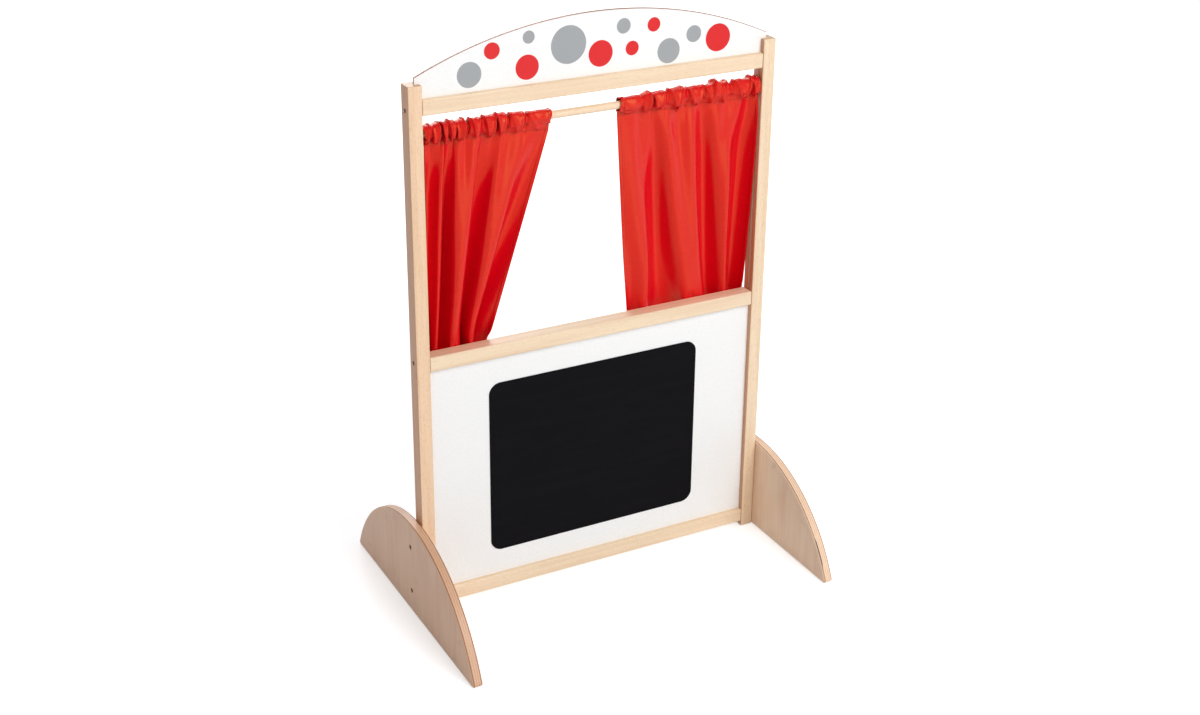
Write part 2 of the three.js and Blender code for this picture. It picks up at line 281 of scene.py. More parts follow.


# Feet: half-round boards of beech plywood, nine plies glued crosswise, sawn, sanded round and
# lacquered. The edge shows the plies as stripes, light along the grain and dark across it, with dark
# glue under the two outer ones. The right one has a short gap in a core ply, low on its front edge,
# whose shade is painted in as a dark streak.
ply_face = "#FDE9D4"
ply_face_dark = "#F4DBC2"
ply_patch = "#F1D4BC"
ply_smudge = "#9A8574"
ply_long = "#FFEBD6"
ply_end = "#FADFC4"
ply_glue = "#D2A47E"
ply_first_glue = "#9C6238"
# Each foot's own tone; the left foot's darker, pinker one is painted shade
ply_tones_and_shade = {"left_foot": "#E4CAB8", "right_foot": "#FFF4EA"}
ply_thickness = 0.002
ply_count = 9
glue_shares = (0.16, 0)
first_glue_shares = (0.62, 0)
streak_width = 0.006
streak_length = 0.12
streak_shares = (0.1, 0.9)
patch_width = 0.028
patch_length = 0.2
patch_shares = (0.35, 0.75)
smudge_width = 0.035
smudge_shares = (0.6, 1.1)
foot_face_shares = (0.9, 0.985)
# Beech's pores are about 0.1 mm wide, too fine to show, and are drawn nine times as coarse
pore_width = 0.0009
pore_length = 0.0027
pore_shares = (0.4, 0.8)
core_gap_painted_shade = "#4A3324"
core_gap_height = 0.052
core_gap_reaches = (0.024, 0.0168)
core_gap_ply = 7.5
core_gap_ply_shares = (0.5, 0.35)
core_gap_front = (0, -0.01)

foot_outer_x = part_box("right_foot")[1].x


def distance_from(tree, value, place):
    """How far a value is from a place."""
    past = add_node(tree, "ShaderNodeMath", {0: value, 1: place}, operation="SUBTRACT")
    return add_node(tree, "ShaderNodeMath", {0: past.outputs[0]}, operation="ABSOLUTE").outputs[0]


for foot in ("left_foot", "right_foot"):
    material, tree = new_material(f"lacquered_plywood_{foot}")
    place = add_node(tree, "ShaderNodeTexCoord").outputs["Object"]
    parts = add_node(tree, "ShaderNodeSeparateXYZ", {0: place})
    from_middle = add_node(tree, "ShaderNodeMath", {0: parts.outputs["X"]}, operation="ABSOLUTE")
    depth = distance_from(tree, from_middle.outputs[0], foot_outer_x)
    plies = add_node(tree, "ShaderNodeMath", {0: depth, 1: ply_thickness}, operation="DIVIDE").outputs[0]
    in_pair = add_node(tree, "ShaderNodeMath", {0: plies, 1: 2}, operation="FLOORED_MODULO")
    crosswise = add_node(tree, "ShaderNodeMath", {0: in_pair.outputs[0], 1: 1}, operation="GREATER_THAN")
    from_glue = add_node(tree, "ShaderNodeMath", {0: plies}, operation="FRACT")
    from_face = add_node(tree, "ShaderNodeMath", {0: plies, 1: ply_count / 2}, operation="PINGPONG")
    from_first_glue = distance_from(tree, from_face.outputs[0], 1)

    streaks = grain_pattern(tree, "Z", streak_width, streak_length, detail=3)
    patches = grain_pattern(tree, "Z", patch_width, patch_length, detail=2)
    smudges = grain_pattern(tree, "Z", smudge_width, smudge_width, detail=3)
    face = tinted(tree, srgb(ply_face), srgb(ply_face_dark), streaks, streak_shares)
    face = tinted(tree, face, srgb(ply_patch), patches, patch_shares)
    face = tinted(tree, face, srgb(ply_smudge), smudges, smudge_shares)

    pores = grain_pattern(tree, "X", pore_width, pore_length, detail=2)
    end_wood = tinted(tree, srgb(ply_end), srgb(ply_glue), pores, pore_shares)
    core = add_node(tree, "ShaderNodeMix", {
        0: crosswise.outputs[0], 6: srgb(ply_long), 7: end_wood,
    }, data_type="RGBA").outputs[2]
    core = tinted(tree, core, srgb(ply_glue), from_glue.outputs[0], glue_shares)
    core = tinted(tree, core, srgb(ply_first_glue), from_first_glue, first_glue_shares)
    # Painted shade: a dark streak low on the front edge, where a core ply has a gap
    if foot == "right_foot":
        from_gap = distance_from(tree, parts.outputs["Z"], core_gap_height)
        gap = tinted(tree, core, srgb(core_gap_painted_shade), from_gap, core_gap_reaches)
        from_gap_ply = distance_from(tree, plies, core_gap_ply)
        gap = tinted(tree, core, gap, from_gap_ply, core_gap_ply_shares)
        core = tinted(tree, core, gap, parts.outputs["Y"], core_gap_front)
    wood = tinted(tree, core, face, turned_to(tree, "X"), foot_face_shares)
    # The foot's tone multiplies its wood; on the left foot it is painted shade
    toned = add_node(tree, "ShaderNodeMix", {
        0: 1, 6: wood, 7: srgb(ply_tones_and_shade[foot]),
    }, data_type="RGBA", blend_type="MULTIPLY")
    finish_material(
        tree, toned.outputs[2], streaks, grain_depth, Roughness=lacquer_roughness, IOR=lacquer_ior,
    )
    dress(foot, material)


# Panels: thin hardboard with a smooth white coat on both faces, sawn to size, so that its brown core
# shows at the edges. The arch panel's front is printed with grey and red dots, and sanding has taken
# the coat off along its arc.
coat_white = "#FDFDFC"
coat_shade = "#F8F8F6"
core_brown = "#97592F"
coat_mottle = 0.004
mottle_shares = (0.35, 0.75)
sawn_shares = (0.7, 0.4)
coat_roughness = 0.36
coat_ior = 1.5
coat_gloss = 0.3
# The coat's grit is about 0.3 mm, drawn four times as coarse so that it shows
coat_grit = 0.0012
coat_grit_depth = 0.00003
arch_shoulder_rise = 0.011
arris_width = 0.0011
arris_shares = (1, 0.8)
dot_grey = "#A5A8AA"
dot_red = "#E21E21"
print_edge = 0.0003
print_facing_shares = (-0.4, -0.6)
# Each dot's place across, from the middle to the panel's edge, its height above the top rail and its
# radius, both as shares of the panel's height there
grey_dot_shares = [
    (-0.711, 0.263, 0.199), (-0.389, 0.724, 0.1), (-0.169, 0.53, 0.3),
    (0.142, 0.714, 0.121), (0.407, 0.226, 0.201), (0.555, 0.447, 0.135),
]
red_dot_shares = [
    (-0.588, 0.585, 0.13), (-0.398, 0.263, 0.195), (0.012, 0.327, 0.21),
    (0.193, 0.346, 0.116), (0.317, 0.677, 0.114), (0.702, 0.336, 0.226),
]

arch_half_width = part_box("arch_panel")[1].x
arch_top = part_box("arch_panel")[1].z
arch_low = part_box("top_rail")[1].z
arch_rise = arch_top - (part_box("left_post")[1].z + arch_shoulder_rise)
arc_radius = (arch_half_width ** 2 + arch_rise ** 2) / (2 * arch_rise)


def printed_dots(tree, coat, flat_place):
    """The coat with the dots printed on it, from places in the panel's own plane."""
    height = arch_top - arch_low
    for dot_shares, ink in ((grey_dot_shares, dot_grey), (red_dot_shares, dot_red)):
        for across_share, height_share, radius_share in dot_shares:
            middle = (across_share * arch_half_width, 0, arch_low + height_share * height)
            radius = radius_share * height
            reach = add_node(tree, "ShaderNodeVectorMath", {0: flat_place, 1: middle}, operation="DISTANCE")
            limits = (radius + print_edge / 2, radius - print_edge / 2)
            coat = tinted(tree, coat, srgb(ink), reach.outputs["Value"], limits)
    return coat


def coated_board(name, arched):
    """White-coated board, with the dots and the sanded arc if it is the arched one."""
    material, tree = new_material(name)
    mottle = grain_pattern(tree, "X", coat_mottle, coat_mottle, detail=3)
    colour = tinted(tree, srgb(coat_white), srgb(coat_shade), mottle, mottle_shares)
    if arched:
        place = add_node(tree, "ShaderNodeTexCoord")
        facing = add_node(tree, "ShaderNodeSeparateXYZ", {0: place.outputs["Normal"]})
        flat_place = add_node(tree, "ShaderNodeVectorMath", {
            0: place.outputs["Object"], 1: (1, 0, 1),
        }, operation="MULTIPLY").outputs[0]
        printed = printed_dots(tree, colour, flat_place)
        colour = tinted(tree, colour, printed, facing.outputs["Y"], print_facing_shares)
        arc_middle = (0, 0, arch_top - arc_radius)
        reach = add_node(tree, "ShaderNodeVectorMath", {0: flat_place, 1: arc_middle}, operation="DISTANCE")
        arris = [arc_radius - share * arris_width for share in arris_shares]
        colour = tinted(tree, colour, srgb(core_brown), reach.outputs["Value"], arris)
    colour = tinted(tree, colour, srgb(core_brown), turned_to(tree, "Y"), sawn_shares)
    grit = grain_pattern(tree, "X", coat_grit, coat_grit, detail=2)
    finish_material(
        tree, colour, grit, coat_grit_depth,
        Roughness=coat_roughness, IOR=coat_ior, Specular_IOR_Level=coat_gloss,
    )
    return material


dress("arch_panel", coated_board("white_coated_board_dotted", arched=True))
dress("front_panel", coated_board("white_coated_board", arched=False))


# Chalkboard: a matt black coating of filled paint on a thin sheet, glued to the front panel. Wiped
# chalk leaves a very faint grey bloom in it, in long soft strokes.
slate_black = "#09080B"
chalk_bloom = "#17161A"
slate_roughness = 0.78
slate_ior = 1.45
slate_gloss = 0.1
# The paint's grit is about 0.1 mm, drawn eight times as coarse so that it shows
slate_grit = 0.0008
slate_grit_depth = 0.00004
wipe_width = 0.012
wipe_length = 0.16
wipe_twist = 0.6
bloom_shares = (0.45, 0.85)
bloom_strength_share = 0.35

slate_material, tree = new_material("matt_chalkboard_paint")
wipes = grain_pattern(tree, "X", wipe_width, wipe_length, detail=5, twist=wipe_twist)
bloom = add_node(tree, "ShaderNodeMapRange", {
    "Value": wipes, "From Min": bloom_shares[0], "From Max": bloom_shares[1],
    "To Max": bloom_strength_share,
})
slate = add_node(tree, "ShaderNodeMix", {
    0: bloom.outputs[0], 6: srgb(slate_black), 7: srgb(chalk_bloom),
}, data_type="RGBA")
slate_grain = grain_pattern(tree, "X", slate_grit, slate_grit, detail=1)
finish_material(
    tree, slate.outputs[2], slate_grain, slate_grit_depth,
    Roughness=slate_roughness, IOR=slate_ior, Specular_IOR_Level=slate_gloss,
)
dress("chalkboard", slate_material)


# Screws: countersunk connector screws with a hexagon socket, of steel burnished dark brown, so that
# they look almost black in their holes and catch only a dull light.
steel_dark = "#4A433C"
steel_brown = "#33291F"
steel_roughness = 0.4
burnish_size = 0.0015
burnish_depth = 0.00002

steel_material, tree = new_material("burnished_steel")
burnish = grain_pattern(tree, "X", burnish_size, burnish_size, detail=3)
steel = add_node(tree, "ShaderNodeMix", {
    0: burnish, 6: srgb(steel_dark), 7: srgb(steel_brown),
}, data_type="RGBA")
finish_material(tree, steel.outputs[2], burnish, burnish_depth, Metallic=1, Roughness=steel_roughness)
for node_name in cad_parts:
    if node_name.endswith("_screw"):
        dress(node_name, steel_material)


# Curtains: red cotton sateen cut to rectangles, hemmed at the sides, and folded over and sewn into a
# pocket that is gathered on the rod. They lean back and hang down behind the middle rail.
cloth_width = 0.34
pocket_height = 0.0385
drop = 0.446
pocket_radius = 0.0083
post_gap = 0.001
hold_lift = 0.0015
hem_behind_rail = 0.004
edge_slack_share = 1
hem_slack_share = 0.997
# The grid that falls
cloth_columns = 80
pocket_rows = 9
drop_rows = 50
# The hint of gathers and folds that the flat cloth starts with
lean_share = 1.1
gather_height = 0.0035
gather_size_shares = (0.8, 1.2)
gather_fade_share = 0.3
gather_below_share = 0.3
fold_depth = 0.01
fold_onset = 0.08
fold_smoothing_columns = 4
unevenness = 0.0001
# The fall, and what the cloth falls on
gather_frames = 30
fall_frames = 48
stiffening_length = 0.04
cloth_gap = 0.0018
layer_gap = 0.0012
rod_sides = 20
solid_skin = 0.0012
solid_core = 0.004
wood_friction = 8

rod_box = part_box("curtain_rod")
rod_radius = (rod_box[1].z - rod_box[0].z) / 2
rod_height = (rod_box[1].z + rod_box[0].z) / 2
rail_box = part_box("middle_rail")
post_inner_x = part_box("right_post")[0].x
free_drop = drop - pocket_height
quarter_turn = pocket_radius * math.pi / 2
pocket_slope = pocket_height - quarter_turn
stitch_height = rod_height - math.sqrt(pocket_slope ** 2 - pocket_radius ** 2)

# How each curtain is drawn aside: where its free edge is on the rod and behind the rail, where its cloth
# is pinched along the rod, counted from the post, and how tight each stretch between two pinches is,
# and where its hem is held, as shares of the cloth, of the way across and of the fold's depth. A broad
# fold has its places below the pocket and at the hem, its width and how far it comes forward.
broad_fold_depth = 0.01
curtains = [
    {
        "name": "left_curtain", "side": -1, "seed": 3,
        "rod_edge": 0.0885, "hem_edge": 0.212, "hem_start": 0.318, "fold_reach": 0.032,
        "pinch_shares": (0, 0.098, 0.179, 0.244, 0.325, 0.428, 0.558, 0.658, 0.74, 0.862, 1),
        "tightness_shares": (0.5, 0.5, 0.5, 0.5, 0.55, 0.62, 0.65, 0.7, 0.8, 0.92),
        "hem_shares": (
            (0, 0, 0.15), (0.04, 0.05, 0), (0.09, 0.1, 0.6), (0.15, 0.17, 0), (0.26, 0.31, 1),
            (0.39, 0.44, 0), (0.545, 0.63, 1), (0.7, 0.79, 0), (0.86, 0.92, 0.7), (1, 1, 0.04),
        ),
        "broad_fold_shares": (
            (0.09, 0.09, 0.04, -0.4), (0.15, 0.15, 0.035, 0.4), (0.25, 0.26, 0.05, -0.6),
            (0.38, 0.39, 0.07, 0.6), (0.55, 0.545, 0.07, -0.6), (0.7, 0.7, 0.06, 0.5),
            (0.86, 0.86, 0.05, -0.4),
        ),
    },
    {
        "name": "right_curtain", "side": 1, "seed": 4,
        "rod_edge": 0.0435, "hem_edge": 0.082, "hem_start": 0.3205, "fold_reach": 0.026,
        "pinch_shares": (0, 0.071, 0.221, 0.413, 0.537, 0.684, 0.787, 0.864, 1),
        "tightness_shares": (0.8, 0.88, 0.92, 0.88, 0.9, 0.85, 0.85, 0.93),
        "hem_shares": (
            (0, 0, 0.04), (0.09, 0.06, 1), (0.2, 0.16, 0), (0.32, 0.28, 0.9),
            (0.51, 0.47, 0), (0.74, 0.73, 0.9), (0.85, 0.88, 0), (1, 1, 0.35),
        ),
        "broad_fold_shares": (
            (0.14, 0.1, 0.055, -0.8), (0.23, 0.2, 0.035, 0.5), (0.36, 0.31, 0.06, -0.6),
            (0.53, 0.5, 0.08, 0.6), (0.7, 0.74, 0.06, -0.6), (0.8, 0.86, 0.04, 0.4),
        ),
    },
]

# The rows of the cloth, by its length from the pocket's top: up the back, down the front, to the hem
pocket_steps = [pocket_height * i / pocket_rows for i in range(pocket_rows)]
drop_steps = [free_drop * i / drop_rows for i in range(drop_rows + 1)]
row_lengths = np.array(
    [step - pocket_height for step in pocket_steps]
    + pocket_steps
    + [pocket_height + step for step in drop_steps]
)
row_count = len(row_lengths)
column_count = cloth_columns + 1
top_row = pocket_rows
stitch_row = 2 * pocket_rows


def hanging_place(length):
    """Where a length of cloth from the pocket's top hangs in y and z, minus being behind the rod."""
    side = -1 if length > 0 else 1
    reach = abs(length)
    if reach <= quarter_turn:
        turn = reach / pocket_radius
        return side * pocket_radius * math.sin(turn), rod_height + pocket_radius * math.cos(turn)
    share = (reach - quarter_turn) / pocket_slope
    if share <= 1:
        return side * pocket_radius * (1 - share), rod_height + (stitch_height - rod_height) * share
    return 0, stitch_height - (reach - pocket_height)


def flat_cloth(curtain, columns_held, hem_depths):
    """The cloth laid over the rod at its full width, with a hint of its gathers and folds."""
    side = curtain["side"]
    chance = np.random.default_rng(curtain["seed"])
    places = np.zeros((row_count, column_count, 3))
    places[..., 0] = side * (post_inner_x - post_gap - cloth_width * np.linspace(0, 1, column_count))
    gathers = np.zeros(column_count)
    for start, end in zip(columns_held[:-2], columns_held[1:-1]):
        share = np.linspace(0, 1, end - start + 1)
        gathers[start:end + 1] = np.sin(np.pi * share) ** 2 * chance.uniform(*gather_size_shares)
    window = 2 * fold_smoothing_columns + 1
    folds = np.pad(hem_depths, fold_smoothing_columns, mode="edge")
    folds = np.convolve(folds, np.ones(window) / window, mode="valid")
    folds = (folds - folds.mean()) / np.ptp(folds)
    lean = rail_box[1].y + hem_behind_rail
    for row, length in enumerate(row_lengths):
        y, z = hanging_place(length)
        below = max(0, length - pocket_height)
        places[row, :, 1] = y + lean * min(1, lean_share * below / free_drop)
        places[row, :, 2] = z
        if below == 0:
            away = np.array([0, y, z - rod_height])
            fade = min(1, (pocket_height - abs(length)) / (gather_fade_share * pocket_height))
            places[row] += np.outer(gathers * gather_height * fade, away / np.linalg.norm(away))
        else:
            near_pocket = math.sin(math.pi * min(1, below / fold_onset))
            places[row, :, 1] += folds * fold_depth * min(1, below / fold_onset)
            places[row, :, 1] -= gathers * gather_height * gather_below_share * near_pocket
    places[..., 1] += chance.normal(scale=unevenness, size=places.shape[:2])
    return places


def gathered_cloth(curtain, flat, columns_held, rod_places, hem_places, hem_depths):
    """The cloth drawn together on the rod and behind the rail, which its held points move to."""
    places = flat.copy()
    columns = np.arange(column_count)
    top_x = np.interp(columns, columns_held, rod_places)
    hem_y = rail_box[1].y + hem_behind_rail + hem_depths
    for row, length in enumerate(row_lengths):
        share = max(0, length - pocket_height) / free_drop
        places[row, :, 0] = top_x + (hem_places - top_x) * share
        if share > 0:
            places[row, :, 1] = hem_y * share
    places[top_row, :, 1] = 0
    places[top_row, :, 2] = rod_height + rod_radius + hold_lift
    slack = np.where(columns % cloth_columns == 0, edge_slack_share, hem_slack_share)
    reach = free_drop * slack
    places[-1, :, 2] = stitch_height - np.sqrt(reach ** 2 - (hem_places - top_x) ** 2 - hem_y ** 2)
    return places


def stand_in(name, points, faces):
    """A simple copy of a frame piece that the falling cloth rests on."""
    mesh = bpy.data.meshes.new(name)
    mesh.from_pydata(points, [], faces)
    piece = bpy.data.objects.new(name, mesh)
    scene.collection.objects.link(piece)
    piece.modifiers.new("solid", "COLLISION")
    piece.collision.thickness_outer = solid_skin
    piece.collision.thickness_inner = solid_core
    piece.collision.cloth_friction = wood_friction
    return piece


def stand_in_box(node_name):
    """A stand-in that fills a node's box."""
    low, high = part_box(node_name)
    points = [(x, y, z) for x in (low.x, high.x) for y in (low.y, high.y) for z in (low.z, high.z)]
    faces = [(0, 1, 3, 2), (4, 6, 7, 5), (0, 4, 5, 1), (2, 3, 7, 6), (0, 2, 6, 4), (1, 5, 7, 3)]
    return stand_in(f"{node_name}_stand_in", points, faces)


def stand_in_rod():
    """A stand-in for the rod, with a few flat sides."""
    turns = [2 * math.pi * i / rod_sides for i in range(rod_sides)]
    points = [
        (x, rod_radius * math.cos(turn), rod_height + rod_radius * math.sin(turn))
        for x in (rod_box[0].x, rod_box[1].x) for turn in turns
    ]
    faces = [tuple(reversed(range(rod_sides))), tuple(range(rod_sides, 2 * rod_sides))]
    for i in range(rod_sides):
        j = (i + 1) % rod_sides
        faces.append((i, j, j + rod_sides, i + rod_sides))
    return stand_in("rod_stand_in", points, faces)


def cloth_faces(rows, columns, side):
    """The four-cornered faces of a grid of cloth, with its good side outward."""
    faces = []
    for row in range(rows - 1):
        for column in range(columns - 1):
            corner = row * columns + column
            face = (corner, corner + 1, corner + columns + 1, corner + columns)
            faces.append(face if side > 0 else face[::-1])
    return faces


def loose_cloth(curtain, flat, gathered, columns_held, hem_columns):
    """The cloth ready to fall: its pocket joined by seam threads, its held points on the way."""
    name = curtain["name"] + "_falling"
    seam = [(column, stitch_row * column_count + column) for column in range(column_count)]
    mesh = bpy.data.meshes.new(name)
    faces = cloth_faces(row_count, column_count, curtain["side"])
    mesh.from_pydata(flat.reshape(-1, 3).tolist(), seam, faces)
    piece = bpy.data.objects.new(name, mesh)
    scene.collection.objects.link(piece)
    held = piece.vertex_groups.new(name="held")
    held.add([top_row * column_count + column for column in columns_held], 1, "REPLACE")
    held.add([(row_count - 1) * column_count + column for column in hem_columns], 1, "REPLACE")
    stiff = piece.vertex_groups.new(name="stiff")
    for row, length in enumerate(row_lengths):
        weight = min(1, (length - pocket_height) / stiffening_length)
        if weight > 0:
            stiff.add(list(range(row * column_count, (row + 1) * column_count)), weight, "REPLACE")
    piece.shape_key_add(name="flat")
    key = piece.shape_key_add(name="gathered")
    key.data.foreach_set("co", gathered.ravel())
    key.value = 0
    key.keyframe_insert("value", frame=1)
    key.value = 1
    key.keyframe_insert("value", frame=1 + gather_frames)

    cloth = piece.modifiers.new("cloth", "CLOTH")
    cloth.point_cache.frame_end = fall_frames
    settings = cloth.settings
    settings.quality = 8
    settings.mass = 0.2
    settings.air_damping = 2
    settings.tension_stiffness = 20
    settings.compression_stiffness = 12
    settings.shear_stiffness = 5
    settings.bending_stiffness = 4
    settings.vertex_group_bending = "stiff"
    settings.bending_stiffness_max = 60
    settings.tension_damping = 10
    settings.compression_damping = 10
    settings.shear_damping = 10
    settings.bending_damping = 0.5
    settings.vertex_group_mass = "held"
    settings.pin_stiffness = 1
    settings.use_sewing_springs = True
    settings.sewing_force_max = 5
    collision = cloth.collision_settings
    collision.collision_quality = 4
    collision.distance_min = cloth_gap
    collision.use_self_collision = True
    collision.self_distance_min = layer_gap
    collision.self_friction = 2
    return piece


def settled_places(piece):
    """Where the cloth's points are at the current frame."""
    shown = piece.evaluated_get(bpy.context.evaluated_depsgraph_get())
    places = np.empty(row_count * column_count * 3)
    shown.data.vertices.foreach_get("co", places)
    return places.reshape(row_count, column_count, 3)


# The fall itself: both curtains are drawn together first and then settle under their own weight.
hung = []
for curtain in curtains:
    side = curtain["side"]
    pinches = np.array(curtain["pinch_shares"])
    columns_held = [round(share * cloth_columns) for share in pinches]
    steps = np.diff(pinches) * curtain["tightness_shares"]
    across = np.concatenate([[0], np.cumsum(steps)]) / steps.sum()
    rod_start = post_inner_x - post_gap
    rod_places = side * (rod_start - across * (rod_start - curtain["rod_edge"]))
    hem_shares = np.array(curtain["hem_shares"])
    hem_columns = [round(share * cloth_columns) for share in hem_shares[:, 0]]
    hem_across = curtain["hem_start"] - hem_shares[:, 1] * (curtain["hem_start"] - curtain["hem_edge"])
    columns = np.arange(column_count)
    hem_places = side * np.interp(columns, hem_columns, hem_across)
    hem_depths = np.interp(columns, hem_columns, hem_shares[:, 2] * curtain["fold_reach"])
    flat = flat_cloth(curtain, columns_held, hem_depths)
    gathered = gathered_cloth(curtain, flat, columns_held, rod_places, hem_places, hem_depths)
    hung.append((curtain, loose_cloth(curtain, flat, gathered, columns_held, hem_columns)))

solids = [stand_in_rod()] + [stand_in_box(name) for name in ("middle_rail", "left_post", "right_post")]
scene.frame_start = 1
scene.frame_end = fall_frames
for step in range(1, fall_frames + 1):
    scene.frame_set(step)
settled = [settled_places(falling) for curtain, falling in hung]
for spare in solids + [falling for curtain, falling in hung]:
    bpy.data.objects.remove(spare)
for action in list(bpy.data.actions):
    bpy.data.actions.remove(action)
scene.frame_set(1)


# The sateen: a smooth face of long floating threads, which turns bright and warm where the cloth bends
# away, over a fine weave with a few thicker threads. Inside a crease its red is darkened by ambient
# occlusion, as painted shade. A thread is 0.2 mm wide, drawn four times as coarse so that it still shows.
sateen_red = "#E6051D"
sateen_deep = "#DA041A"
# Painted shade: the deep red that the cloth is darkened to where ambient occlusion finds a crease
painted_crease_shade = "#7E0C12"
crease_shade_reach = 0.009
crease_shade_shares = (0.85, 0.35)
crease_shade_samples = 6
slub_width = 0.0009
slub_length = 0.03
slub_shares = (0.3, 0.8)
weave_width = 0.0008
weave_depth = 0.00002
seam_thread = "#A80E18"
seam_width = 0.0009
seam_depth = 0.0002
side_hem = 0.0065
foot_hem = 0.014
sateen_roughness = 0.27
sateen_ior = 1.5
gleam_gold = "#DECF7C"
gleam_share = 0.6
gleam_stretch = 0.95
gleam_turn_share = 0.25
sheen_warm = "#FF8A5C"
sheen_share = 0.12
sheen_roughness = 0.3

sateen, tree = new_material("red_cotton_sateen")
cut_place = add_node(tree, "ShaderNodeUVMap", uv_map="cut").outputs[0]
cut_parts = add_node(tree, "ShaderNodeSeparateXYZ", {0: cut_place})


def waves(tree, value, width):
    """A run of even waves, from 0 to 1, along a length."""
    turns = add_node(tree, "ShaderNodeMath", {0: value, 1: 2 * math.pi / width}, operation="MULTIPLY")
    wave = add_node(tree, "ShaderNodeMath", {0: turns.outputs[0]}, operation="SINE")
    raised = add_node(tree, "ShaderNodeMath", {
        0: wave.outputs[0], 1: 0.5, 2: 0.5,
    }, operation="MULTIPLY_ADD")
    return raised.outputs[0]


slub_steps = (1 / slub_length, 1 / slub_width, 1)
slub_place = add_node(tree, "ShaderNodeVectorMath", {0: cut_place, 1: slub_steps}, operation="MULTIPLY")
slubs = add_node(tree, "ShaderNodeTexNoise", {"Vector": slub_place.outputs[0], "Scale": 1, "Detail": 2})
red = tinted(tree, srgb(sateen_red), srgb(sateen_deep), slubs.outputs[0], slub_shares)
# Painted shade: inside a crease, found by ambient occlusion, the red turns darker
crease_shade_ao = add_node(
    tree, "ShaderNodeAmbientOcclusion", {"Distance": crease_shade_reach}, samples=crease_shade_samples, only_local=True,
)
red = tinted(tree, red, srgb(painted_crease_shade), crease_shade_ao.outputs["AO"], crease_shade_shares)

# The seams: one along each side hem, one on each face of the pocket, and one along the foot hem
seam_places = [
    ("X", side_hem), ("X", cloth_width - side_hem),
    ("Y", -pocket_height), ("Y", pocket_height), ("Y", drop - foot_hem),
]
from_seam = seam_width
for axis, seam_place in seam_places:
    from_line = distance_from(tree, cut_parts.outputs[axis], seam_place)
    nearest = add_node(tree, "ShaderNodeMath", {0: from_seam, 1: from_line}, operation="MINIMUM")
    from_seam = nearest.outputs[0]
seams = add_node(tree, "ShaderNodeMapRange", {
    "Value": from_seam, "From Min": seam_width, "From Max": 0,
}, interpolation_type="SMOOTHSTEP").outputs[0]
sewn = add_node(tree, "ShaderNodeMix", {0: seams, 6: red, 7: srgb(seam_thread)}, data_type="RGBA")

across_waves = waves(tree, cut_parts.outputs["X"], weave_width)
along_waves = waves(tree, cut_parts.outputs["Y"], weave_width)
weave = add_node(tree, "ShaderNodeMath", {0: across_waves, 1: along_waves}, operation="MULTIPLY")
relief = add_node(tree, "ShaderNodeMath", {
    0: seams, 1: -seam_depth / weave_depth, 2: weave.outputs[0],
}, operation="MULTIPLY_ADD")
weft = add_node(tree, "ShaderNodeTangent", direction_type="UV_MAP", uv_map="cut")
finish_material(
    tree, sewn.outputs[2], relief.outputs[0], weave_depth, Roughness=sateen_roughness, IOR=sateen_ior,
    Specular_IOR_Level=gleam_share, Specular_Tint=srgb(gleam_gold),
    Anisotropic=gleam_stretch, Anisotropic_Rotation=gleam_turn_share, Tangent=weft.outputs[0],
    Sheen_Weight=sheen_share, Sheen_Roughness=sheen_roughness, Sheen_Tint=srgb(sheen_warm),
)


# The settled cloth is drawn again on a finer grid, and gets the small forms that the coarse one can't
# hold: puffs between the pinches of the pocket, with creases in a V, and the pucker along the seam.
fine_columns = 240
fine_pocket_rows = 24
fine_drop_rows = 70
calm_reach = 6
fold_onset_share = 0.25
cloth_thickness = 0.0005
hem_thickness = 0.0013
seam_allowance = 0.0004
solid_clearance = 0.0005
# Puffs
puff_height = 0.0032
puff_size_shares = (0.75, 1.15)
puff_rise_share = 0.3
puff_least_share = 0.35
puff_fade_length = 0.022
flat_end_share = 0.4
# Creases
crease_height = 0.0085
crease_width = 0.0032
crease_pitch = 0.04
crease_strength_shares = (0.5, 1.1)
crease_shift_shares = (-0.15, 0.15)
crease_spread_shares = (0.3, 0.5)
crease_apex_shares = (0, 0.4)
crease_rise_share = 0.12
crest_round_share = 0.4
# Pinches and puckers
pinch_depth = 0.003
pinch_width = 0.003
pinch_strength_shares = (0.4, 1.5)
pucker_height = 0.0003
pucker_pitch = 0.0062
pucker_reach = 0.004
pucker_stray_share = 0.3

fine_pocket = pocket_height * np.linspace(0, 1, fine_pocket_rows + 1)
fine_drop = pocket_height + free_drop * np.linspace(0, 1, fine_drop_rows + 1)
fine_row_height = free_drop / fine_drop_rows
fine_lengths = np.concatenate([-fine_pocket[:0:-1], fine_pocket, fine_drop[1:]])
fine_across = cloth_width * np.linspace(0, 1, fine_columns + 1)
coarse_across = cloth_width * np.linspace(0, 1, column_count)


def hump(distance, width):
    """A smooth hump, one in the middle and nearly nothing two widths away."""
    return np.exp(-(distance / width) ** 2)


def crest(distance, width):
    """A narrow crest that falls off to nearly nothing four widths away."""
    return np.exp(-np.sqrt(distance ** 2 + (crest_round_share * width) ** 2) / width)


def drawn_finer(places, coarse, fine):
    """Points on smooth curves through the rows of places, from coarse steps to fine ones."""
    steps = np.interp(fine, coarse, np.arange(len(coarse)))
    first = np.clip(np.floor(steps).astype(int), 0, len(coarse) - 2)
    share = (steps - first).reshape(-1, *[1] * (places.ndim - 1))
    before, start, end, after = (
        places[np.clip(first + offset, 0, len(coarse) - 1)] for offset in (-1, 0, 1, 2)
    )
    straight = end - before
    bend = 2 * before - 5 * start + 4 * end - after
    twist = 3 * (start - end) + after - before
    return start + 0.5 * share * (straight + share * (bend + share * twist))


